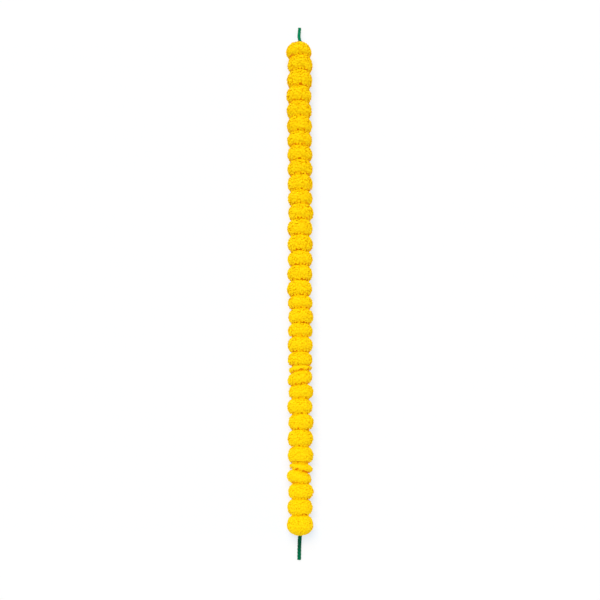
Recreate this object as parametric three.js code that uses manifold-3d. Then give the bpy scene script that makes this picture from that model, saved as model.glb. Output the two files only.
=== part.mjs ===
// A marigold garland: thirty-four yellow blooms threaded face to back on one green cord.
// It lies straight along Y on the surface at Z = 0, with the blooms' faces towards +Y.
// Millimetres, +Z up, origin under the middle of the row of blooms.
import * as THREE from 'three';
import { mergeVertices } from 'three/addons/utils/BufferGeometryUtils.js';
import Module from 'manifold-3d';

const wasm = await Module();
wasm.setup();

// Driving dimensions
const bloomDiameter = 70; // across the petals of a bloom of ordinary length
const bloomDepth = 59; // along the cord, as a bloom measures where nothing squeezes it
const ordinaryLength = 43; // of cord that an ordinary bloom takes up
const fullness = 0.25; // how much wider a bloom is for each millimetre that it is longer
const pressedFlat = 2.6; // depth of petal that the surface presses flat
const cordDiameter = 7;
const cordHeight = 32; // of the cord's centre above the surface, inside the blooms
const boreGap = 0.35; // between the cord and the bloom that it goes through
const seatGap = 0.7; // between neighbouring blooms
const seatRise = 3; // how far a bloom's face stands up into the back of the next
const seatRadius = 25; // where the outlines of two neighbours meet
const facedUp = 0.2; // how far a bloom's face is turned up, as the slope of its seats back from upright

// Length of cord that each bloom takes up, from the +Y end, and how far it sits to the right of the cord.
const bloomLengths = [
  50, 42, 45, 43, 43, 43, 40, 41, 42, 44, 39, 44, 45, 45, 41, 43, 43,
  37, 42, 39, 43, 40, 15, 38, 40, 44, 45, 48, 48, 22, 36, 44, 46, 56,
];
const bloomShifts = [
  -3, 1, -1, -3, -2, -1, -1, 0, 0, 1, 0, 2, -1, 1, 0, 0, -1,
  1, 2, 2, 1, 0, 1, 0, 3, -1, 3, 1, 2, 3, -2, 3, 0, 1,
];
// Where a squeezed bloom has slipped, its seat with the next one leans, in degrees.
const seatLeans = { 23: 14, 24: 3, 30: -16 };

// Petals: tiers of blunt petals lie over each other like scales, their edges away from the face.
// The creases between them lie at these angles from the face, in degrees.
const petalsRound = 11;
const squeezedCreases = [20, 41, 60, 79, 98, 117, 138, 160];
const squashedCreases = [32, 56, 80, 104, 128, 150];
const squashedBelow = 25; // length of cord under which a bloom has the squashed tiers
const freeFaceCreases = [8, 18, 32, 48, 65, 82, 99, 117, 138, 160];
const freeBackCreases = [20, 41, 60, 79, 98, 115, 132, 148, 162, 172];
const edgeWidth = 0.64; // of a petal's edge, as a share of its place in the tier
const edgeReach = 0.7; // how far a petal's edge overlaps the next tier, as a share of the step to it
const ruffle = 0.13; // how far its two corners stand apart, one forward and one back, as a share of that step
const creaseReach = 0.84; // how far out the creases lie, as a share of the petals' reach
const creaseDepth = 0.5; // below a squeezed face
const jitter = { reach: 0.035, polar: 0.12, turn: 0.1, crease: 0.02 };

const yellow = new THREE.MeshStandardMaterial({ color: 0xf8c10a, roughness: 0.75, metalness: 0 });
const green = new THREE.MeshStandardMaterial({ color: 0x00643f, roughness: 0.85, metalness: 0 });

const radians = THREE.MathUtils.degToRad;
const rowLength = bloomLengths.reduce((sum, length) => sum + length, 0);
const fullTurn = 2 * Math.PI;

// A repeatable draw between -1 and 1, by a linear congruential generator.
function makeDraw(seed) {
  let state = seed;
  return () => {
    state = (Math.imul(state, 1664525) + 1013904223) >>> 0;
    return state / 2 ** 31 - 1;
  };
}

// How far a point of a bloom is moved along Y, because the blooms face up a little and some have slipped.
function leaning(lean, x, z) {
  return Math.tan(radians(lean)) * x + facedUp * (z - cordHeight);
}

// The seat between two blooms: a shallow dome towards +Y.
function seatAt(y, lean) {
  return (x, z) => {
    const reach = Math.hypot(x, z - cordHeight) / seatRadius;
    return y + leaning(lean, x, z) + seatRise * (1 - reach * reach);
  };
}

// Every bloom's size and place along the cord, worked out from the lists above.
function layOut() {
  let faceY = rowLength / 2;
  return bloomLengths.map((length, i) => {
    const number = i + 1;
    const backY = faceY - length;
    const first = number === 1;
    const last = number === bloomLengths.length;
    const lean = seatLeans[number] ?? 0;
    const leanBefore = seatLeans[number - 1] ?? 0;
    const radius = (bloomDiameter + fullness * (length - ordinaryLength)) / 2;
    const halfDepth = bloomDepth / 2;
    let middleY = (faceY + backY) / 2;
    if (first) middleY = faceY - halfDepth;
    if (last) middleY = backY + halfDepth;
    const bloom = {
      number,
      length,
      radius,
      halfDepth,
      shift: bloomShifts[i],
      middleY,
      lean: (lean + leanBefore) / 2,
      faceSeat: first ? null : seatAt(faceY, leanBefore),
      backSeat: last ? null : seatAt(backY, lean),
    };
    faceY = backY;
    return bloom;
  });
}

// The creases of one tier: a point between each two petals, deep except round the bore.
function creaseTier(tier, polar, atBore, draw) {
  const place = fullTurn / petalsRound;
  const middleReach = atBore ? 1 : creaseReach;
  return Array.from({ length: petalsRound }, (_, i) => ({
    angle: (i + tier / 2 + jitter.turn * draw()) * place,
    polar,
    reach: middleReach + jitter.crease * draw(),
    crease: true,
  }));
}

// The two corners of a petal's edge, one standing forward of the other.
function petalCorners(middle, polar, step, draw) {
  const half = (edgeWidth * Math.PI) / petalsRound;
  const edge = polar + (edgeReach + jitter.polar * draw()) * step;
  const reach = 1 + jitter.reach * draw();
  const forward = ruffle * step * Math.sign(draw());
  return [
    { angle: middle - half, polar: edge - forward, reach },
    { angle: middle + half, polar: edge + forward, reach: reach + jitter.reach * draw() },
  ];
}

// A point of the bloom's surface, held back by the seats on either side.
function surfacePoint(bloom, { angle, polar, reach, crease }) {
  const out = reach * bloom.radius * Math.sin(radians(polar));
  const x = out * Math.cos(angle) + (bloom.shift * out) / bloom.radius;
  const middleZ = bloom.radius - pressedFlat;
  const z = cordHeight + out * Math.sin(angle) + ((middleZ - cordHeight) * out) / bloom.radius;
  const along = reach * bloom.halfDepth * Math.cos(radians(polar));
  const free = bloom.middleY + leaning(bloom.lean, x, z) + along;
  return new THREE.Vector3(x, heldBack(bloom, x, free, z, crease ? creaseDepth : 0), z);
}

function heldBack(bloom, x, y, z, depth) {
  const clear = seatGap / 2 + depth;
  let held = y;
  if (bloom.faceSeat) held = Math.min(held, bloom.faceSeat(x, z) - clear);
  if (bloom.backSeat) held = Math.max(held, bloom.backSeat(x, z) + clear);
  return held;
}

// A rim of the bore that the cord goes through: polar is 0 on the face and 180 on the back.
const boreSides = 8;
const boreRadius = (cordDiameter / 2 + boreGap) / Math.cos(Math.PI / boreSides);

function boreRim(bloom, polar) {
  const sunk = 0.86; // share of the bloom's depth, because the petals round the bore stand higher
  return Array.from({ length: boreSides }, (_, i) => {
    const angle = ((i + 0.5) / boreSides) * fullTurn;
    const x = boreRadius * Math.cos(angle);
    const z = cordHeight + boreRadius * Math.sin(angle);
    const along = sunk * bloom.halfDepth * Math.cos(radians(polar));
    const free = bloom.middleY + leaning(bloom.lean, x, z) + along;
    const point = new THREE.Vector3(x, heldBack(bloom, x, free, z, creaseDepth), z);
    return { angle, point };
  });
}

// Triangles between two closed rings of points, each in the order of its angles.
function stitch(upper, lower, triangles) {
  const turnOf = (ring, i) => ring[i % ring.length].angle + fullTurn * Math.floor(i / ring.length);
  let a = 0;
  let b = 0;
  while (a < upper.length || b < lower.length) {
    const upperIsNext = turnOf(upper, a + 1) <= turnOf(lower, b + 1);
    const takeUpper = b >= lower.length || (a < upper.length && upperIsNext);
    const here = upper[a % upper.length].point;
    const under = lower[b % lower.length].point;
    if (takeUpper) {
      a += 1;
      triangles.push(here, upper[a % upper.length].point, under);
    } else {
      b += 1;
      triangles.push(here, lower[b % lower.length].point, under);
    }
  }
}

// A petal fills the diamond between four creases: six triangles fold over its edge.
function petal(above, left, right, below, [leftCorner, rightCorner], triangles) {
  triangles.push(above, rightCorner, leftCorner);
  triangles.push(above, leftCorner, left);
  triangles.push(above, right, rightCorner);
  triangles.push(leftCorner, below, left);
  triangles.push(leftCorner, rightCorner, below);
  triangles.push(rightCorner, right, below);
}

// A ring's points in the order of their angles, from the first one past zero.
function sortedRing(ring) {
  return ring
    .map((item) => ({ ...item, angle: THREE.MathUtils.euclideanModulo(item.angle, fullTurn) }))
    .sort((p, q) => p.angle - q.angle);
}

function solidOf(geometry) {
  const merged = geometry.clone();
  merged.deleteAttribute('normal');
  merged.deleteAttribute('uv');
  const shared = mergeVertices(merged, 1e-4);
  return new wasm.Manifold(new wasm.Mesh({
    numProp: 3,
    vertProperties: new Float32Array(shared.attributes.position.array),
    triVerts: new Uint32Array(shared.index.array),
  }));
}

function geometryOfSolid(solid) {
  const mesh = solid.getMesh();
  const geometry = new THREE.BufferGeometry();
  geometry.setAttribute('position', new THREE.BufferAttribute(new Float32Array(mesh.vertProperties), 3));
  geometry.setIndex(new THREE.BufferAttribute(new Uint32Array(mesh.triVerts), 1));
  geometry.computeVertexNormals();
  return geometry;
}

// What lies below the surface, taken off each bloom to leave the spot that it rests on.
function belowSurface(bloom) {
  const depth = bloom.radius;
  const block = new THREE.BoxGeometry(4 * bloom.radius, 4 * bloom.halfDepth, depth);
  block.translate(0, bloom.middleY, -depth / 2);
  return solidOf(block);
}

function tierAngles(bloom) {
  if (!bloom.faceSeat) return freeFaceCreases;
  if (!bloom.backSeat) return freeBackCreases;
  return bloom.length < squashedBelow ? squashedCreases : squeezedCreases;
}

// The whole surface of a bloom, petals, bore and all, as a list of triangles.
function bloomTriangles(bloom, draw) {
  const polars = tierAngles(bloom);
  const last = polars.length - 1;
  const tiers = polars.map((polar, tier) => {
    const creases = creaseTier(tier, polar, tier === 0 || tier === last, draw);
    return creases.map((crease) => ({ angle: crease.angle, point: surfacePoint(bloom, crease) }));
  });
  const at = (tier, i) => tiers[tier][(i + petalsRound) % petalsRound];
  const triangles = [];
  for (let tier = 1; tier < last; tier++) {
    for (let i = 0; i < petalsRound; i++) {
      const middle = ((i + (tier - 1) / 2) * fullTurn) / petalsRound;
      const step = polars[tier + 1] - polars[tier];
      const corners = petalCorners(middle, polars[tier], step, draw).map((corner) => surfacePoint(bloom, corner));
      const [above, below] = [at(tier - 1, i), at(tier + 1, i - 1)];
      petal(above.point, at(tier, i - 1).point, at(tier, i).point, below.point, corners, triangles);
    }
  }
  const rims = [boreRim(bloom, 0), boreRim(bloom, 180)];
  for (let i = 0; i < petalsRound; i++) {
    triangles.push(at(0, i).point, at(0, i + 1).point, at(1, i).point);
    triangles.push(at(last, i - 1).point, at(last - 1, i).point, at(last, i).point);
  }
  const turned = (tier) => sortedRing(tiers[tier]);
  stitch(rims[0], turned(0), triangles);
  stitch(turned(last), rims[1], triangles);
  stitch(rims[1], rims[0], triangles);
  return triangles;
}

function makeBloom(bloom) {
  const seed = 7919 * bloom.number;
  const triangles = bloomTriangles(bloom, makeDraw(seed));
  const whole = solidOf(new THREE.BufferGeometry().setFromPoints(triangles));
  const resting = whole.subtract(belowSurface(bloom));
  const mesh = new THREE.Mesh(geometryOfSolid(resting), yellow);
  mesh.name = `bloom_${String(bloom.number).padStart(2, '0')}`;
  return mesh;
}

// The cord's route from its +Y tip to its -Y tip: straight through the blooms, and down to the surface past them.
const cordRoute = [
  [-1, 755, 3.6], [-1.5, 747, 4], [-2.1, 740, 7], [-2.6, 733, 13], [-2.8, 726, 20], [-2.3, 719, 27],
  [-0.9, 712.5, 31.1], [0, 704, 32], [0, 690, 32], [0, 450, 32], [0, 150, 32],
  [0, -150, 32], [0, -450, 32], [0, -690, 32], [0, -702, 32], [-0.3, -711, 31.2],
  [-0.8, -718.5, 27.5], [-1.2, -725, 22], [-1.4, -731, 16], [-1.6, -737.5, 10], [-1.8, -745, 5.8],
  [-2, -755, 4], [-2.2, -768, 3.6], [-2.5, -786.5, 3.6],
];

function makeCord() {
  const route = new THREE.CatmullRomCurve3(cordRoute.map((p) => new THREE.Vector3(...p)));
  route.getUtoTmapping = (u) => u; // steps follow the route's own points, which are close where it bends
  const sides = 8;
  const section = new THREE.Shape();
  for (let i = 0; i <= sides; i++) {
    const angle = ((i + 0.5) / sides) * fullTurn;
    const [x, y] = [Math.cos(angle) * cordDiameter / 2, Math.sin(angle) * cordDiameter / 2];
    if (i === 0) section.moveTo(x, y);
    else section.lineTo(x, y);
  }
  const steps = 2 * (cordRoute.length - 1);
  const geometry = new THREE.ExtrudeGeometry(section, { steps, extrudePath: route, bevelEnabled: false });
  const mesh = new THREE.Mesh(geometry, green);
  mesh.name = 'cord';
  return mesh;
}

const garland = new THREE.Group();
garland.name = 'marigold_garland';
layOut().forEach((bloom) => garland.add(makeBloom(bloom)));
garland.add(makeCord());

export default garland;
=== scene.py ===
import math
import random
import time

import bmesh
import bpy
import numpy as np
from mathutils import Matrix, Vector


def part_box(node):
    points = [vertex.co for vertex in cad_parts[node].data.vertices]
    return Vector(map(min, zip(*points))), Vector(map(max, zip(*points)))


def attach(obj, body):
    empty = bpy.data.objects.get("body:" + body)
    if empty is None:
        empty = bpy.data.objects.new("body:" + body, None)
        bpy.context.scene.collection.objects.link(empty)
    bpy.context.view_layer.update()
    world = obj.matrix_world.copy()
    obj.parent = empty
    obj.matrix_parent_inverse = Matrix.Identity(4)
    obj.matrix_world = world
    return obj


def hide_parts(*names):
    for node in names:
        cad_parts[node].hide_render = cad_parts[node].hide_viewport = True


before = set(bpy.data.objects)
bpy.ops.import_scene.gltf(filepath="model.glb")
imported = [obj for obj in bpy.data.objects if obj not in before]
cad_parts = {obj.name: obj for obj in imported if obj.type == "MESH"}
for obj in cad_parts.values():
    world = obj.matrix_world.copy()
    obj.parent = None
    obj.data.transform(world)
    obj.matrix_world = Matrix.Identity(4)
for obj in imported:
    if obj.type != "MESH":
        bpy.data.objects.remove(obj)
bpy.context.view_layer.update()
mm = 0.001
cordHeight = 32 * mm  # of the cord's centre above the floor, inside the blooms
started = time.time()


def say(stage):
    print(f"{stage}: {time.time() - started:.1f} s")


# Small helpers for working by hand

def deselectAll():
    for thing in bpy.context.selected_objects:
        thing.select_set(False)
    bpy.context.view_layer.objects.active = None


def makeActive(piece):
    deselectAll()
    piece.select_set(True)
    bpy.context.view_layer.objects.active = piece


def added(name):  # what an operator has just added, under its own name
    piece = bpy.context.object
    piece.name = name
    piece.data.name = name
    return piece


def intoScene(thing):
    bpy.context.scene.collection.objects.link(thing)
    return thing


def pickVertices(piece, test):  # in edit mode, selects the vertices that pass the test and nothing else
    bpy.context.tool_settings.mesh_select_mode = (True, False, False)
    shape = bmesh.from_edit_mesh(piece.data)
    for vertex in shape.verts:
        vertex.select = bool(test(vertex))
    shape.select_flush_mode()
    bmesh.update_edit_mesh(piece.data)


def joinPieces(pieces, name):
    bpy.context.view_layer.update()  # so that each copy is where it was put
    if pieces[0].data.users > 1:
        pieces[0].data = pieces[0].data.copy()  # so that the joined mesh belongs to no other piece
    makeActive(pieces[0])
    for piece in pieces:
        piece.select_set(True)
    bpy.ops.object.join()
    return added(name)


def vertexPlaces(piece):
    places = np.empty(len(piece.data.vertices) * 3)
    piece.data.vertices.foreach_get("co", places)
    return places.reshape(-1, 3)


def setVertexPlaces(piece, places):
    piece.data.vertices.foreach_set("co", places.ravel())
    piece.data.update()


def paint(red, green, blue):  # a colour as a screen shows it, from 0 to 255, made linear
    shown = [value / 255 for value in (red, green, blue)]
    linear = [((value + 0.055) / 1.055) ** 2.4 if value > 0.04 else value / 12.92 for value in shown]
    return (*linear, 1.0)


# Camera

camera = {  # in metres
    "height": 2.5,  # above the cord's centre
    "alongY": -0.0337,  # where it looks straight down
    "across": 1.721,  # of what it sees at the cord's height
    "sensor": 36,  # in millimetres
}


def makeCamera():
    bpy.ops.object.camera_add(location=(0, camera["alongY"], cordHeight + camera["height"]))
    eye = added("camera")
    eye.data.sensor_width = camera["sensor"]
    eye.data.lens = camera["sensor"] * camera["height"] / camera["across"]
    eye.data.dof.use_dof = False
    bpy.context.scene.camera = eye


makeCamera()
say("camera")


# Shader maths

class Socket:  # wraps an output socket, so that maths on it is written as it reads
    def __init__(self, board, output):
        self.board = board
        self.output = output

    def math(self, operation, *others, first=None):
        inputs = {0: self if first is None else first}
        inputs.update({i + 1: other for i, other in enumerate(others)})
        return self.board.add("ShaderNodeMath", {"operation": operation}, inputs)

    def __add__(self, other):
        return self.math("ADD", other)

    def __radd__(self, other):
        return self.math("ADD", other)

    def __sub__(self, other):
        return self.math("SUBTRACT", other)

    def __rsub__(self, other):
        return self.math("SUBTRACT", self, first=other)

    def __mul__(self, other):
        return self.math("MULTIPLY", other)

    def __rmul__(self, other):
        return self.math("MULTIPLY", other)

    def __truediv__(self, other):
        return self.math("DIVIDE", other)

    def __rtruediv__(self, other):
        return self.math("DIVIDE", self, first=other)

    def clamped(self):
        return self.math("MAXIMUM", 0.0).math("MINIMUM", 1.0)

    def share(self):  # of a wave from -1 to 1, as a value from 0 to 1
        return self * 0.5 + 0.5


class Board:  # a material's node board
    def __init__(self, name):
        self.material = bpy.data.materials.new(name)
        self.material.use_nodes = True
        self.tree = self.material.node_tree
        self.tree.nodes.clear()

    def add(self, kind, settings, inputs, output=0):
        node = self.tree.nodes.new(kind)
        for key, value in settings.items():
            if key == "stops":
                self.setStops(node.color_ramp, value)
            else:
                setattr(node, key, value)
        for key, value in inputs.items():
            if isinstance(value, Socket):
                self.tree.links.new(value.output, node.inputs[key])
            else:
                node.inputs[key].default_value = value
        return Socket(self, node.outputs[output]) if node.outputs else node

    def setStops(self, ramp, stops):
        while len(ramp.elements) < len(stops):
            ramp.elements.new(0.5)
        for element, (place, colour) in zip(ramp.elements, stops):
            element.position = place
            element.color = colour

    def objectPlace(self):
        return self.add("ShaderNodeTexCoord", {}, {}, "Object")

    def mapPlace(self, uvMap):
        return self.add("ShaderNodeUVMap", {"uv_map": uvMap}, {})

    def parts(self, vector):
        node = self.add("ShaderNodeSeparateXYZ", {}, {0: vector}).output.node
        return [Socket(self, output) for output in node.outputs]

    def noise(self, place, scale, detail, rough):
        inputs = {"Vector": place, "Scale": scale, "Detail": detail, "Roughness": rough}
        return self.add("ShaderNodeTexNoise", {}, inputs, "Fac")

    def mix(self, factor, first, second):
        return self.add("ShaderNodeMix", {"data_type": "RGBA"}, {0: factor, 6: first, 7: second}, 2)

    def bump(self, strength, height):
        return self.add("ShaderNodeBump", {}, {"Strength": strength, "Distance": 1.0, "Height": height})

    def finish(self, inputs):
        surface = self.add("ShaderNodeBsdfPrincipled", {}, inputs)
        self.add("ShaderNodeOutputMaterial", {}, {"Surface": surface})
        return self.material


# Cord

cord = {
    # in millimetres, from the end by the first bloom's face:
    # straight through the blooms, and down to the floor past them
    "route": [
        (-1, 755, 3.6), (-1.5, 747, 4), (-2.1, 740, 7), (-2.6, 733, 13), (-2.8, 726, 20),
        (-2.3, 719, 27), (-0.9, 712.5, 31.1), (0, 704, 32), (0, 690, 32), (0, 450, 32), (0, 150, 32),
        (0, -150, 32), (0, -450, 32), (0, -690, 32), (0, -702, 32), (-0.3, -711, 31.2),
        (-0.8, -718.5, 27.5), (-1.2, -725, 22), (-1.4, -731, 16), (-1.6, -737.5, 10),
        (-1.8, -745, 5.8), (-2, -755, 4), (-2.2, -768, 3.6), (-2.5, -786.5, 3.6),
    ],
    "diameter": 7 * mm,
    "exit": (-2.5 * mm, 729 * mm, 16 * mm),
    "step": 2 * mm,  # between rings
    "strands": 3,
    "lay": 30 * mm,  # in which a strand goes once round
    "strandSides": 6,
    "groove": 0.74,  # how far out the cord is between two strands, as a share of its radius
    "roundness": 0.6,  # power of a strand's outline: the less, the narrower the grooves
    "pressedTo": 690 * mm,  # from the middle, inside the blooms
    "loosens": 20 * mm,
    "looseFirst": 0.36,  # how much thicker the loose fibres make its free ends
    "looseLast": 0.70,
    "pressedFlat": 0.3 * mm,  # above the floor, where its free ends rest
    "mergeWithin": 0.001 * mm,
    "smoothTo": 50,  # degrees between two faces
}


def smoothRoute():  # the route as points a step apart, on a cubic through the points given
    points = np.array(cord["route"]) * mm
    gaps = np.linalg.norm(np.diff(points, axis=0), axis=1)
    runs = np.diff(points, axis=0) / gaps[:, None]
    slopes = [runs[0]]
    for i in range(1, len(points) - 1):
        slopes.append((runs[i - 1] * gaps[i] + runs[i] * gaps[i - 1]) / (gaps[i] + gaps[i - 1]))
    slopes.append(runs[-1])
    places = [points[:1]]
    for i, gap in enumerate(gaps):
        count = round(gap / cord["step"])
        share = np.arange(1, count + 1)[:, None] / count
        start = points[i] * (1 + 2 * share) * (1 - share) ** 2
        start += slopes[i] * gap * share * (1 - share) ** 2
        end = points[i + 1] * (3 - 2 * share) * share ** 2
        end -= slopes[i + 1] * gap * (1 - share) * share ** 2
        places.append(start + end)
    return np.concatenate(places)


def strandedSection():  # a closed outline with a lobe for each strand
    curve = bpy.data.curves.new("cordSection", "CURVE")
    outline = curve.splines.new("POLY")
    outline.points.add(cord["strands"] * cord["strandSides"] - 1)
    radius = cord["diameter"] / 2
    for i, point in enumerate(outline.points):
        angle = 2 * math.pi * i / len(outline.points)
        lobe = abs(math.cos(cord["strands"] * angle / 2)) ** cord["roundness"]
        reach = radius * (cord["groove"] + (1 - cord["groove"]) * lobe)
        point.co = (reach * math.cos(angle), reach * math.sin(angle), 0, 1)
    outline.use_cyclic_u = True
    return intoScene(bpy.data.objects.new("cordSection", curve))


def twistedLine(centres, walked):  # the cord's middle line, which turns and widens its section on the way
    curve = bpy.data.curves.new("cordStrands", "CURVE")
    curve.dimensions = "3D"
    line = curve.splines.new("POLY")
    line.points.add(len(centres) - 1)
    for point, centre, along in zip(line.points, centres, walked):
        point.co = (*centre, 1)
        point.tilt = 2 * math.pi * along / cord["lay"]
        loosened = min(1, max(0, (abs(centre[1]) - cord["pressedTo"]) / cord["loosens"]))
        point.radius = 1 + loosened * (cord["looseFirst"] if centre[1] > 0 else cord["looseLast"])
    return curve


def closeEnds():  # in object mode, on the active piece
    bpy.ops.object.mode_set(mode="EDIT")
    bpy.ops.mesh.select_all(action="SELECT")
    bpy.ops.mesh.remove_doubles(threshold=cord["mergeWithin"])
    bpy.ops.mesh.normals_make_consistent(inside=False)
    bpy.ops.object.mode_set(mode="OBJECT")


def makeCord():
    centres = smoothRoute()
    walked = np.concatenate([[0], np.cumsum(np.linalg.norm(np.diff(centres, axis=0), axis=1))])
    curve = twistedLine(centres, walked)
    section = strandedSection()
    curve.bevel_mode = "OBJECT"
    curve.bevel_object = section
    curve.use_fill_caps = True
    makeActive(intoScene(bpy.data.objects.new("cordStrands", curve)))
    bpy.ops.object.convert(target="MESH")
    piece = added("cordStrands")
    closeEnds()
    bpy.ops.object.shade_smooth_by_angle(angle=math.radians(cord["smoothTo"]))
    bpy.data.objects.remove(section)
    places = vertexPlaces(piece)
    places[:, 2] = np.maximum(places[:, 2], cord["pressedFlat"])
    setVertexPlaces(piece, places)
    for face in piece.data.polygons:
        if len(face.vertices) > 4:  # the cut ends, so that no pattern runs over them
            for corner in face.loop_indices:
                piece.data.uv_layers[0].data[corner].uv = (0, 0)
    return piece, centres, walked[-1]


strands, cordCentres, cordLength = makeCord()
say("cord")


# Petal material

petalLook = {
    "heartAndShade": paint(217, 95, 0),  # deep between the petals: partly the flower's own deep heart, partly painted shade in the gaps and joints
    "root": paint(246, 193, 0),
    "middle": paint(246, 205, 0),
    "tip": paint(247, 209, 1),
    "pale": paint(248, 214, 6),
    "stops": {"heartAndShade": 0.0, "root": 0.18, "middle": 0.5, "tip": 0.85},  # on a scale up to a petal's tip
    "patches": (55.0, 2.0, 0.5),  # noise: scale, detail and roughness
    "patchShift": 0.4,  # how far a patch moves the colours along a petal
    "patchFrom": 0.45,  # the noise past which a patch is pale as well
    "patchPale": 0.6,
    "edgeFrom": 0.8,  # where a petal starts to get pale towards its tip
    "edgeRise": 4.0,
    "edgePale": 0.45,
    "crinkles": (420.0, 3.0, 0.6),
    "crinkleDepth": 0.30 * mm,
    "veins": 40.0,  # radians of their wave across a petal, which make about six
    "veinWander": 3.0,
    "veinTint": 0.10,
    "veinDepth": 0.12 * mm,
    "bump": 0.6,
    "paintedGlow": (0.10, 0.065, 0.0, 1.0),  # painted glow: the petals give off a faint light of their own, in place of the light that comes through them
    "roughness": 0.62,
    "roughnessVaries": 0.2,
    "specular": 0.06,
}


def petalMaterial():
    board = Board("marigoldPetal")
    place = board.objectPlace()
    across, rise, _ = board.parts(board.mapPlace("alongPetal"))
    patches = board.noise(place, *petalLook["patches"])
    crinkle = board.noise(place, *petalLook["crinkles"])
    stops = [(stop, petalLook[name]) for name, stop in petalLook["stops"].items()]
    shifted = (rise + (patches - 0.5) * petalLook["patchShift"]).clamped()
    base = board.add("ShaderNodeValToRGB", {"stops": stops}, {0: shifted})
    edge = ((rise - petalLook["edgeFrom"]) * petalLook["edgeRise"]).clamped() * petalLook["edgePale"]
    patch = (patches - petalLook["patchFrom"]).clamped() * petalLook["patchPale"]
    tinted = board.mix(edge + patch, base, petalLook["pale"])
    veins = (across * petalLook["veins"] + crinkle * petalLook["veinWander"]).math("SINE")
    height = veins * petalLook["veinDepth"] + crinkle * petalLook["crinkleDepth"]
    return board.finish({
        "Base Color": board.mix(veins.share() * petalLook["veinTint"], tinted, petalLook["middle"]),
        "Roughness": petalLook["roughness"] + (crinkle - 0.5) * petalLook["roughnessVaries"],
        "Specular IOR Level": petalLook["specular"],
        # painted glow, which lifts the shade between the petals
        "Emission Color": petalLook["paintedGlow"],
        "Emission Strength": 1.0,
        "Normal": board.bump(petalLook["bump"], height),
    })


petalFinish = petalMaterial()


# Petals

petal = {
    "across": 8,  # faces
    "along": 3,
    "thickness": 0.45 * mm,
    # each row from root to tip: share of the width, place along and height in millimetres,
    # and share of the ruffle
    "rows": [
        (0.62, 0.0, -6.0, 0.0),
        (0.86, 1.8, -3.2, 0.3),
        (1.00, 5.2, -0.9, 0.7),
        (0.92, 9.6, 0.0, 1.15),
    ],
    "notch": 0.5 * mm,
    "notchWaves": 1.3,  # for each of the ruffle's
    "corner": 2.2,  # power: the more, the nearer to its sides the tip is held back
    "cup": 0.9 * mm,  # how far the sides fold down at the tip
    "rootCup": 0.4,  # share of that at the root
    "near": 0.01,  # metres, much less than between two vertices of the grid that a petal starts as
    "mergeWithin": 0.01 * mm,
    "smoothTo": 80,  # degrees between two faces
    # where its root is on the scale of colours, in a tier, on a face and in a last tier
    "rootShade": 0.46,
    # painted light: the face's petals are pale down to their roots, where light falls on the face
    "faceRootPaintedLight": 0.8,
    # painted shade: the last tier's roots are deep orange, in the joint with the next bloom
    "lastRootPaintedShade": 0.14,
}

# of each kind of petal: its width and how far its tip's corners are held back in millimetres,
# the waves of its ruffle, where they start, their height, and how deep the petal curls
petalKinds = {
    "petalBroad": (12.0, 2.4, 1.6, 0.1, 0.9, 1.0),
    "petalFolded": (10.5, 2.6, 1.2, 0.6, 1.3, 1.15),
    "petalFlat": (12.5, 2.8, 1.9, 0.35, 0.6, 0.8),
    "petalRuffled": (11.5, 2.2, 2.0, 0.8, 1.1, 1.0),
    "petalCupped": (10.5, 3.0, 1.0, 0.25, 1.2, 1.2),
    "petalCreased": (11.5, 2.6, 1.8, 0.55, 1.1, 0.9),
}
lastPetalKinds = {
    "lastRuffled": (11.0, 5.2, 1.4, 0.6, 0.9, 0.8),
    "lastRounded": (10.8, 6.0, 0.7, 0.2, 0.4, 0.7),
}


def petalPoint(row, side, width, heldBack, waves, start, ruffle, curl):  # side goes from -1 to 1 across
    share, along, height, ruffled = petal["rows"][row]
    turn = 2 * math.pi * (waves * side / 2 + start)
    x = side / 2 * width * mm * share
    y = along * mm
    if row == petal["along"]:
        notch = petal["notch"] * math.cos(petal["notchWaves"] * turn)
        y += notch - heldBack * mm * abs(side) ** petal["corner"]
    wave = math.sin(turn) * ruffle * ruffled * mm
    fold = petal["cup"] * side ** 2 * (petal["rootCup"] + (1 - petal["rootCup"]) * row / petal["along"])
    return x, y, height * mm * curl + wave - fold


def shapePetal(piece, shape):  # in edit mode, moves the vertices of a grid one by one
    lifted = 1  # metre, which keeps the vertices already moved apart from the rest
    for row in range(petal["along"] + 1):
        oldY = row / petal["along"] - 0.5
        for column in range(petal["across"] + 1):
            side = 2 * column / petal["across"] - 1
            oldX = side / 2
            old = Vector((oldX, oldY, 0))
            pickVertices(piece, lambda v: v.co.z == 0 and (v.co - old).length < petal["near"])
            x, y, z = petalPoint(row, side, *shape)
            bpy.ops.transform.translate(value=(x - oldX, y - oldY, z + lifted))
    bpy.ops.mesh.select_all(action="SELECT")
    bpy.ops.transform.translate(value=(0, 0, -lifted))


def thickenPetal(piece):  # in edit mode, gives it an underside that closes at its edge
    bpy.ops.mesh.duplicate()
    bpy.ops.mesh.flip_normals()
    pickVertices(piece, lambda v: v.select and not v.is_boundary)
    bpy.ops.transform.translate(value=(0, 0, -petal["thickness"]))
    bpy.ops.mesh.select_all(action="SELECT")
    bpy.ops.mesh.remove_doubles(threshold=petal["mergeWithin"])


def makePetal(name, rootShade, shape):
    deselectAll()
    bpy.ops.mesh.primitive_grid_add(x_subdivisions=petal["across"], y_subdivisions=petal["along"], size=1)
    piece = added(name)
    piece.data.uv_layers[0].name = "alongPetal"
    for corner in piece.data.uv_layers[0].data:
        corner.uv.y = rootShade + (1 - rootShade) * corner.uv.y
    bpy.ops.object.mode_set(mode="EDIT")
    shapePetal(piece, shape)
    thickenPetal(piece)
    bpy.ops.object.mode_set(mode="OBJECT")
    bpy.ops.object.shade_smooth_by_angle(angle=math.radians(petal["smoothTo"]))
    piece.data.materials.append(petalFinish)
    return piece


def makePetals(kinds, ending, rootShade):
    return [makePetal(name + ending, rootShade, shape) for name, shape in kinds.items()]


petals = makePetals(petalKinds, "", petal["rootShade"])
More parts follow.
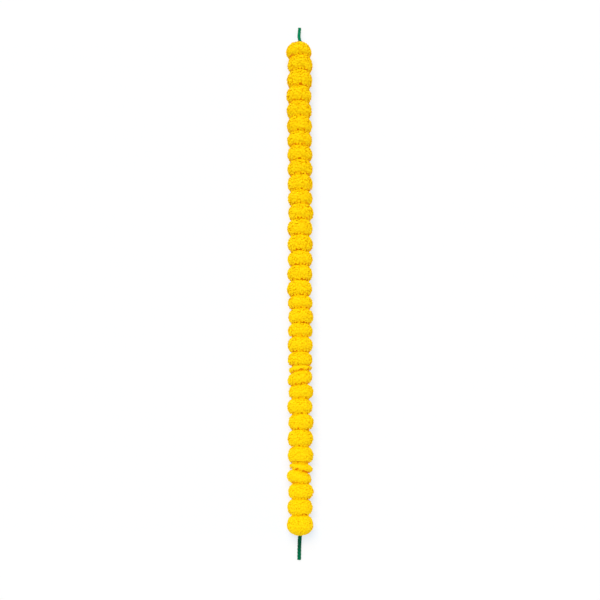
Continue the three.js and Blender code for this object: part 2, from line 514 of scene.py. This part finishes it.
# painted light: copies of the petals pale down to their roots, for the lit face
paintedLitPetals = makePetals(petalKinds, "Pale", petal["faceRootPaintedLight"])
# painted shade: copies with deep roots, for the joint with the next bloom
lastShadedPetals = makePetals(lastPetalKinds, "", petal["lastRootPaintedShade"])
say("petals")


# Blooms: their sizes, their seats on each other, and how they lie on the floor

bloom = {
    "radius": 35.8 * mm,
    "fullness": 0.14,  # how many millimetres its radius grows for each that it is longer than the ordinary
    "ordinaryLength": 43 * mm,
    "squeezed": 30 * mm,  # shorter than this, it is a thin disc that shows the orange roots of its petals, painted darker as the shade of the blooms that overlap it
    "seatRadius": 24.0 * mm,  # where the outlines of two neighbours meet
    "seatRise": 3 * mm,  # how far the middle of a pressed face stands into the bloom before it
    "riseRadius": 25 * mm,  # from the middle of that face to where the rise has ended
    "boreEdge": 0.65,  # cord diameters from the cord's centre, within which the ends of a solid's bore lie
    "boreToSeat": 0.85 * mm,  # from where a solid's bore ends
    "extraLean": 0.06,  # how much more than its solid's the top of a seat leans to the face, as a slope
    "freeDepth": 29 * mm,  # from the widest place to the last bloom's back, which nothing presses
    "firstDepth": 26.5 * mm,  # and to the first bloom's face
    "firstBack": 8.7 * mm,  # how far the first bloom's face is short of its solid's
    "thinnest": 2 * mm,  # from its middle to a seat, at least
    "faceOverlap": 0.9 * mm,  # of the face's petals with the back of the bloom before
    "firmness": 12,  # power: the more, the more sharply petals stop at a seat and at the floor
    "clear": 0.62,  # cord diameters from the cord's centre, which its petals leave free
    "tiny": 0.01 * mm,  # never divided by less
    "pressedFlat": 2.6 * mm,  # by the floor
    "underside": 0.3 * mm,  # above the floor
    # where a seat's edge is looked for, from and up to, in degrees from the face
    "edgeSearch": {"face": (5, 90), "back": (90, 170)},
    "searchStep": 0.5,
    "seed": 100,
}


def seatOf(number, front):  # where a seat crosses the cord, and its slopes to the right and upwards
    places = vertexPlaces(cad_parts[f"bloom_{number:02d}"])
    out = np.hypot(places[:, 0], places[:, 2] - cordHeight)
    edge = places[out < bloom["boreEdge"] * cord["diameter"]]
    middle = (edge[:, 1].max() + edge[:, 1].min()) / 2
    edge = edge[edge[:, 1] > middle] if front else edge[edge[:, 1] < middle]
    spans = np.stack([np.ones(len(edge)), edge[:, 0], edge[:, 2] - cordHeight], axis=1)
    seat = np.linalg.lstsq(spans, edge[:, 1], rcond=None)[0]
    return seat + [bloom["boreToSeat"] if front else -bloom["boreToSeat"], 0, bloom["extraLean"]]


def readBloom(number, count):  # what a bloom measures, by its solid and its neighbours'
    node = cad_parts[f"bloom_{number:02d}"]
    low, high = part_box(node.name)
    freeFace = number == 1
    freeBack = number == count
    face = seatOf(1, True) if freeFace else seatOf(number - 1, False)  # two neighbours share a seat
    back = seatOf(number, False)
    length = face[0] - back[0]
    nextLength = length if freeBack else back[0] - seatOf(number + 1, False)[0]
    radius = bloom["radius"] + bloom["fullness"] * (length - bloom["ordinaryLength"])
    middle = (face[0] + back[0]) / 2 - bloom["seatRise"]
    slopes = (face[1:] + back[1:]) / 2
    if freeFace:
        middle = high[1] - bloom["firstBack"] - bloom["firstDepth"]
        slopes = back[1:]
    if freeBack:
        middle = low[1] + bloom["freeDepth"]
        slopes = face[1:]
    narrowing = math.sqrt(1 - (bloom["seatRadius"] / radius) ** 2)  # of its outline at a seat's edge
    toFace = (face[0] - bloom["seatRise"] - middle) / narrowing
    toBack = (middle - back[0] + bloom["seatRise"]) / narrowing
    return {
        "node": node.name,
        "radius": radius,
        "squeezed": length < bloom["squeezed"],
        "nextSqueezed": nextLength < bloom["squeezed"],
        "halves": {
            "face": bloom["firstDepth"] if freeFace else toFace,
            "back": bloom["freeDepth"] if freeBack else toBack,
        },
        "shift": (low[0] + high[0]) / 2,
        "middle": middle,
        "face": None if freeFace else face,
        "back": None if freeBack else back,
        "slopes": slopes,
    }


# how far along the cord a seat is from the middle of a bloom that doesn't lean yet
def seatHeight(spec, side, x, rise):
    start, right, up = spec[side]
    dish = bloom["seatRise"] * (np.hypot(x, rise) / bloom["riseRadius"]) ** 2
    return start - spec["middle"] + (right - spec["slopes"][0]) * x + (up - spec["slopes"][1]) * rise - dish


def past(spec, side, place):  # how far a place is past a seat
    if spec[side] is None:
        return -1
    seat = seatHeight(spec, side, place.x, place.z)
    return place.y - seat if side == "face" else seat - place.y


# a place on a bloom, the way out from it and the way to the back
def surfaceAt(spec, polar, around, sunk=0.0):
    sine = math.sin(math.radians(polar))
    cosine = math.cos(math.radians(polar))
    outward = Vector((math.cos(around), 0, math.sin(around)))
    along = Vector((0, 1, 0))
    radius = spec["radius"] - sunk
    half = spec["halves"]["face" if cosine > 0 else "back"] - sunk
    lowered = Vector((spec["shift"], 0, spec["radius"] - bloom["pressedFlat"] - cordHeight)) * sine
    place = lowered + outward * radius * sine + along * half * cosine
    normal = (outward * sine / radius + along * cosine / half).normalized()
    backward = (outward * radius * cosine - along * half * sine).normalized()
    return place, normal, backward


def seatEdge(spec, side, around):  # how far from the face a bloom's surface meets a seat, in degrees
    polar, end = bloom["edgeSearch"][side]
    outside = 1 if side == "face" else -1  # the search starts past a face seat, but short of a back seat
    while outside * past(spec, side, surfaceAt(spec, polar, around)[0]) > 0 and polar < end:
        polar += bloom["searchStep"]
    return polar


def held(distance, limit):  # keeps a distance under its limit, softly
    power = bloom["firmness"]
    return distance / (1 + (np.maximum(distance, 0) / limit) ** power) ** (1 / power)


# puts petals on the cord and above the floor, and pressed ones between the neighbours
def settle(piece, spec, pressed):
    x, y, rise = vertexPlaces(piece).T
    if pressed and spec["face"] is not None:
        toSeat = seatHeight(spec, "face", x, rise) + bloom["faceOverlap"]
        y = held(y, np.maximum(toSeat, bloom["thinnest"]))
    if pressed and spec["back"] is not None:
        y = -held(-y, np.maximum(-seatHeight(spec, "back", x, rise), bloom["thinnest"]))
    y = y + spec["middle"] + spec["slopes"][0] * x + spec["slopes"][1] * rise
    out = np.hypot(x, rise)
    clear = bloom["clear"] * cord["diameter"]
    wider = (out ** 4 + clear ** 4) ** 0.25 / np.maximum(out, bloom["tiny"])
    rise = -held(-rise * wider, cordHeight - bloom["underside"])
    setVertexPlaces(piece, np.stack([x * wider, y, rise + cordHeight], axis=1))


# Cores: what shows between the petals

core = {
    "segments": 32,
    "sides": 18,  # of the ring's section
    "depth": 5 * mm,  # below the petals' tips, at the widest place
    "backReach": 2 * mm,  # how much longer its back is than the bloom's, to come near the seat's edge
    # how much of the ring's section makes the core's outside, in radians each way: the rest makes its bore
    "outside": 2.3,
    "pole": 0.2,  # radians from the cord, where the outside ends
    "bore": 0.6,  # radius, in cord diameters
    # its colour, as a share of the way from root to tip, by how far it is from the face in degrees: painted
    # shade, which deepens it towards the back seat
    "paintedShades": [(110, 0.6), (122, 0.0)],
}


def makeCore(spec, name):  # a ring that is drawn out to a bloom's shape, with the cord's bore through it
    deselectAll()
    bpy.ops.mesh.primitive_torus_add(
        major_radius=1, minor_radius=0.5, major_segments=core["segments"], minor_segments=core["sides"],
        rotation=(math.pi / 2, 0, 0),
    )
    piece = added(name)
    bpy.ops.object.transform_apply(location=False, rotation=True, scale=False)
    x, y, z = vertexPlaces(piece).T
    around = np.arctan2(z, x)
    turn = np.arctan2(y, np.hypot(x, z) - 1)  # round the ring's section, from its outside
    polar = math.pi / 2 - turn / core["outside"] * (math.pi / 2 - core["pole"])
    toBack = core["backReach"] if spec["back"] is not None else -core["depth"]
    half = np.where(turn > 0, spec["halves"]["face"] - core["depth"], spec["halves"]["back"] + toBack)
    onSide = np.abs(turn) < core["outside"]
    inBore = np.sign(turn) * (math.pi - np.abs(turn)) / (math.pi - core["outside"]) * math.cos(core["pole"])
    radius = spec["radius"] - core["depth"]
    out = np.where(onSide, radius * np.sin(polar), core["bore"] * cord["diameter"])
    x = out * np.cos(around) + spec["shift"] * np.sin(polar) * onSide
    y = half * np.where(onSide, np.cos(polar), inBore)
    setVertexPlaces(piece, np.stack([x, y, out * np.sin(around)], axis=1))
    bpy.ops.object.shade_smooth()
    paintCoreShade(piece, spec, np.degrees(polar))
    piece.data.materials.append(petalFinish)
    return piece


def paintCoreShade(piece, spec, polar):
    # painted shade: the core turns the deep heart colour towards its back seat, in the joint with the next
    # bloom
    paintedShades = np.interp(polar, *zip(*core["paintedShades"]))
    if spec["back"] is None:
        paintedShades[:] = core["paintedShades"][0][1]
    # painted shade: a squeezed bloom's core is the deep heart colour all over, where its neighbours overlap
    # it
    if spec["squeezed"]:
        paintedShades[:] = 0
    corners = np.empty(len(piece.data.loops), dtype=int)
    piece.data.loops.foreach_get("vertex_index", corners)
    paintedShades = np.stack([np.zeros(len(corners)), paintedShades[corners]], axis=1)
    piece.data.uv_layers[0].name = "alongPetal"
    piece.data.uv_layers[0].data.foreach_set("uv", paintedShades.ravel())


# Placing petals, each by where its tip is

def petalTurned(tip, normal, backward, lift, layer, draw):
    lift = math.radians(lift + draw.uniform(*layer["lift"]))
    swing = Matrix.Rotation(math.radians(draw.uniform(*layer["swing"])), 3, "Z")
    wobble = Matrix.Rotation(math.radians(draw.uniform(*layer["wobble"])), 3, "Y")
    size = draw.uniform(*layer["size"])
    across = backward.cross(normal)
    aim = backward * math.cos(lift) + normal * math.sin(lift)
    turn = Matrix((across, aim, across.cross(aim))).transposed() @ swing @ wobble * size
    length = petal["rows"][-1][1] * mm
    return Matrix.Translation(tip - turn @ Vector((0, length, 0))) @ turn.to_4x4()


def placed(kind, spot):
    copy = intoScene(kind.copy())
    copy.matrix_world = spot
    return copy


# petals that stand up all round the edge of a pressed face
rim = {
    "step": 7.6 * mm,  # between petals
    "proud": 1.2 * mm,  # how far they stand out of the bloom
    "tipLift": -20,  # degrees
    # how much each petal differs at random: steps around, millimetres proud, degrees, and its size
    "around": (-0.2, 0.2),
    "height": (-0.5, 0.5),
    "back": (0, 3),
    "lift": (-8, 8),
    "swing": (-9, 9),
    "wobble": (-10, 10),
    "size": (0.9, 1.1),
}


def placeRim(spec, draw):
    copies = []
    count = round(2 * math.pi * bloom["seatRadius"] / rim["step"])
    start = draw.uniform(0, 2 * math.pi)
    for i in range(count):
        around = start + 2 * math.pi * (i + draw.uniform(*rim["around"])) / count
        proud = rim["proud"] + draw.uniform(*rim["height"]) * mm
        polar = seatEdge(spec, "face", around) + draw.uniform(*rim["back"])
        spot = petalTurned(*surfaceAt(spec, polar, around, -proud), rim["tipLift"], rim, draw)
        # the rim's petals are pale to their roots: painted light on the lit face
        copies.append(placed(draw.choice(paintedLitPetals), spot))
    return copies


# tiers of petals from the face to the back
tiers = {
    "step": 8.7,  # degrees between tiers
    "endStep": 7.5,  # the same on a face and on the last bloom's back
    # degrees from the face: where the face ends, whose petals are pale down to their roots as painted
    # light, where the back starts, and where the last tier may be
    "faceTo": 72,
    "backFrom": 125,
    "upTo": 174,
    "petalStep": 8.8 * mm,  # between petals in a tier
    "fewest": 3,
    "bareBack": 4 * mm,  # before the back seat, which the last tier covers alone
    "pastFace": 4.5 * mm,  # how far the petals go on past the face seat
    # how far a petal's tip stands up from the surface, by how far it is from the face, both in degrees
    "lifts": [(40, -22), (55, -14), (85, 5), (105, 8), (137, 10)],
    "freeLifts": [(0, 50), (12, 20), (25, -12), (55, -14), (85, 5), (105, 8), (137, 10), (175, 26)],
    # the first tier, in degrees past the rim, and in degrees past the start of a free face
    "pastRim": (2, 4),
    "pastPole": (0, 3),
    # how much each petal differs at random: steps around and between tiers, millimetres sunk,
    # degrees, and its size
    "around": (-0.22, 0.22),
    "back": (-0.4, 0.4),
    "sunk": (-0.5, 0.6),
    "lift": (-5, 5),
    "swing": (-9, 9),
    "wobble": (-12, 12),
    "size": (0.9, 1.1),
}


def placeTiers(spec, draw):
    freeFace = spec["face"] is None
    copies = [] if freeFace else placeRim(spec, draw)
    lifts = tiers["freeLifts"] if freeFace else tiers["lifts"]
    polar = seatEdge(spec, "face", math.pi / 2)
    polar += draw.uniform(*tiers["pastPole" if freeFace else "pastRim"])
    while polar < tiers["upTo"]:
        ring = 2 * math.pi * spec["radius"] * math.sin(math.radians(polar))
        count = max(tiers["fewest"], round(ring / tiers["petalStep"]))
        start = draw.uniform(0, 2 * math.pi)
        for i in range(count):
            around = start + 2 * math.pi * (i + draw.uniform(*tiers["around"])) / count
            there = polar + draw.uniform(*tiers["back"]) * tiers["step"]
            tip, normal, backward = surfaceAt(spec, there, around, draw.uniform(*tiers["sunk"]) * mm)
            spot = petalTurned(tip, normal, backward, np.interp(there, *zip(*lifts)), tiers, draw)
            # painted light: on the face, where light falls, petals are pale down to their roots
            pale = there < tiers["faceTo"] and not spec["squeezed"]
            kind = draw.choice(paintedLitPetals if pale else petals)
            hidden = past(spec, "face", tip) >= tiers["pastFace"]
            if not hidden and past(spec, "back", tip) < -tiers["bareBack"]:
                copies.append(placed(kind, spot))
        onFreeBack = spec["back"] is None and polar > tiers["backFrom"]
        polar += tiers["endStep"] if polar < tiers["faceTo"] or onFreeBack else tiers["step"]
    return copies


# rounded petals that reach over the face of the next bloom
lastTier = {
    "step": 9.0 * mm,  # between petals
    "over": -0.2 * mm,  # how far they reach over the face of the next bloom
    "overSqueezed": 3.0 * mm,
    "tipLift": 14,  # degrees
    # how much each petal differs at random: steps around, millimetres sunk and over, degrees, and its size
    "around": (-0.24, 0.24),
    "sunk": (-0.3, 0.3),
    "reach": (-2.4, 3.4),
    "lift": (-6, 6),
    "swing": (-9, 9),
    "wobble": (-12, 12),
    "size": (0.88, 1.06),
}


def placeLastTier(spec, draw):
    copies = []
    over = lastTier["overSqueezed"] if spec["nextSqueezed"] else lastTier["over"]
    count = round(2 * math.pi * bloom["seatRadius"] / lastTier["step"])
    start = draw.uniform(0, 2 * math.pi)
    for i in range(count):
        around = start + 2 * math.pi * (i + draw.uniform(*lastTier["around"])) / count
        polar = seatEdge(spec, "back", around)
        tip, normal, backward = surfaceAt(spec, polar, around, draw.uniform(*lastTier["sunk"]) * mm)
        tip = tip + backward * (over + draw.uniform(*lastTier["reach"]) * mm)
        spot = petalTurned(tip, normal, backward, lastTier["tipLift"], lastTier, draw)
        # deep-rooted petals: painted shade in the joint with the next bloom
        copies.append(placed(draw.choice(lastShadedPetals), spot))
    return copies


def makeBloom(number, count):
    spec = readBloom(number, count)
    draw = random.Random(bloom["seed"] + number)
    name = f"petals_{number:02d}"
    piece = joinPieces([makeCore(spec, name)] + placeTiers(spec, draw), name)
    settle(piece, spec, True)
    if spec["back"] is not None:
        last = joinPieces(placeLastTier(spec, draw), "lastTier")
        bpy.ops.object.transform_apply(location=True, rotation=True, scale=True)
        settle(last, spec, False)
        piece = joinPieces([piece, last], name)
    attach(piece, "root")
    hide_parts(spec["node"])


bloomCount = sum(name.startswith("bloom_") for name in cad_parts)
for number in range(1, bloomCount + 1):
    makeBloom(number, bloomCount)
for kind in petals + paintedLitPetals + lastShadedPetals:
    bpy.data.objects.remove(kind)
say("blooms")


# Cord material

cordLook = {
    "lit": paint(0, 144, 95),
    # what the fibres and the painted shade darken it to
    "deep": paint(0, 46, 30),
    "fuzz": paint(24, 134, 98),
    "waves": 3,  # of painted shade along the whole cord, which is lit at both of its ends
    "paintedWaveShade": 0.8,
    "fibres": 2400.0,  # radians of their wave once round the cord, which make about 380
    "fibreSlant": 16.0,  # how many of them a line along a strand crosses, from end to end
    "fibreWander": 3.0,
    "fibreShade": 0.32,
    # its free end past the last bloom has painted shade, deepest by the bloom and lighter again towards its
    # tip:
    # from where along Y, how fast in each metre, and how much
    "deepFrom": -0.66,
    "deepRise": 9.0,
    "deepShade": 0.7,
    "lighterFrom": -0.735,
    "lighterRise": 30.0,
    "lighterBy": 0.6,
    "flecks": (900.0, 2.0, 0.6),  # noise: scale, detail and roughness
    "fuzzFrom": 0.55,  # the noise past which it is fuzzy
    "fuzzRise": 1.2,
    "depth": 0.4 * mm,  # of its fibres and flecks
    "bump": 0.7,
    "roughness": 0.8,
    "specular": 0.06,
}


def cordMaterial():
    board = Board("greenFibre")
    along, around, _ = board.parts(board.mapPlace("UVMap"))  # each goes from 0 to 1
    place = board.objectPlace()
    _, toFace, _ = board.parts(place)
    # painted shade in slow waves along the cord
    wave = (along * (2 * math.pi * cordLook["waves"])).math("COSINE").share()
    # painted shade on the free end past the last bloom, deepest by the bloom
    tailPaintedShade = ((cordLook["deepFrom"] - toFace) * cordLook["deepRise"]).clamped()
    tailShadeFading = ((cordLook["lighterFrom"] - toFace) * cordLook["lighterRise"]).clamped()
    fleck = board.noise(place, *cordLook["flecks"])
    slant = along * (2 * math.pi * cordLook["fibreSlant"])
    fibre = (slant + around * cordLook["fibres"] + fleck * cordLook["fibreWander"]).math("SINE").share()
    shade = (1 - wave) * cordLook["paintedWaveShade"] + (1 - fibre) * cordLook["fibreShade"]
    shade = (shade + tailPaintedShade * (1 - tailShadeFading * cordLook["lighterBy"]) * cordLook["deepShade"]).clamped()
    colour = board.mix(shade, cordLook["lit"], cordLook["deep"])
    fuzz = (fleck - cordLook["fuzzFrom"]).clamped() * cordLook["fuzzRise"]
    return board.finish({
        "Base Color": board.mix(fuzz, colour, cordLook["fuzz"]),
        "Roughness": cordLook["roughness"],
        "Specular IOR Level": cordLook["specular"],
        "Normal": board.bump(cordLook["bump"], (fibre + fleck) * cordLook["depth"]),
    })


strands.data.materials.clear()
strands.data.materials.append(cordMaterial())
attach(strands, "root")
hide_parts("cord")
say("cord finish")


# Floor and light

studio = {
    "floorSize": 60,
    "floor": paint(202, 179, 158),  # against the colour that the blooms throw on it
    "floorGlow": (0.320, 0.508, 0.672, 1.0),
    "endFloor": paint(120, 120, 120),  # past the row's ends
    "endGlow": (0.79, 0.79, 0.79, 1.0),
    "endFrom": 0.705,  # from the middle of the row
    "endBlend": 0.045,
    "roughness": 0.9,
    "specular": 0.1,
    "sky": (1, 1, 1, 1),
    "skyStrength": 0.77,
    # each lamp: strength, how wide it is in degrees, and where its light comes from
    "lamps": {
        "key": (1.50, 34, (-0.14, 0.56, 0.7)),
        "lowFill": (0.20, 30, (1.0, 0.1, 0.22)),
    },
}


def floorMaterial():
    board = Board("paleFloor")
    _, along, _ = board.parts(board.objectPlace())
    pastEnd = ((along.math("ABSOLUTE") - studio["endFrom"]) / studio["endBlend"]).clamped()
    return board.finish({
        "Base Color": board.mix(pastEnd, studio["floor"], studio["endFloor"]),
        "Roughness": studio["roughness"],
        "Specular IOR Level": studio["specular"],
        "Emission Color": board.mix(pastEnd, studio["floorGlow"], studio["endGlow"]),
        "Emission Strength": 1.0,
    })


def makeFloor():
    deselectAll()
    bpy.ops.mesh.primitive_plane_add(size=studio["floorSize"])
    floor = added("floor")
    floor.data.materials.append(floorMaterial())


def makeSky():
    world = bpy.data.worlds.new("studio")
    bpy.context.scene.world = world
    world.use_nodes = True
    background = world.node_tree.nodes["Background"]
    background.inputs["Color"].default_value = studio["sky"]
    background.inputs["Strength"].default_value = studio["skyStrength"]


def makeLamp(name, strength, width, comesFrom):
    bpy.ops.object.light_add(type="SUN", rotation=Vector(comesFrom).to_track_quat("Z", "Y").to_euler())
    lamp = added(name)
    lamp.data.energy = strength
    lamp.data.angle = math.radians(width)


makeFloor()
makeSky()
for name, lampSettings in studio["lamps"].items():
    makeLamp(name, *lampSettings)
bpy.context.scene.view_settings.view_transform = "Standard"
say("studio")
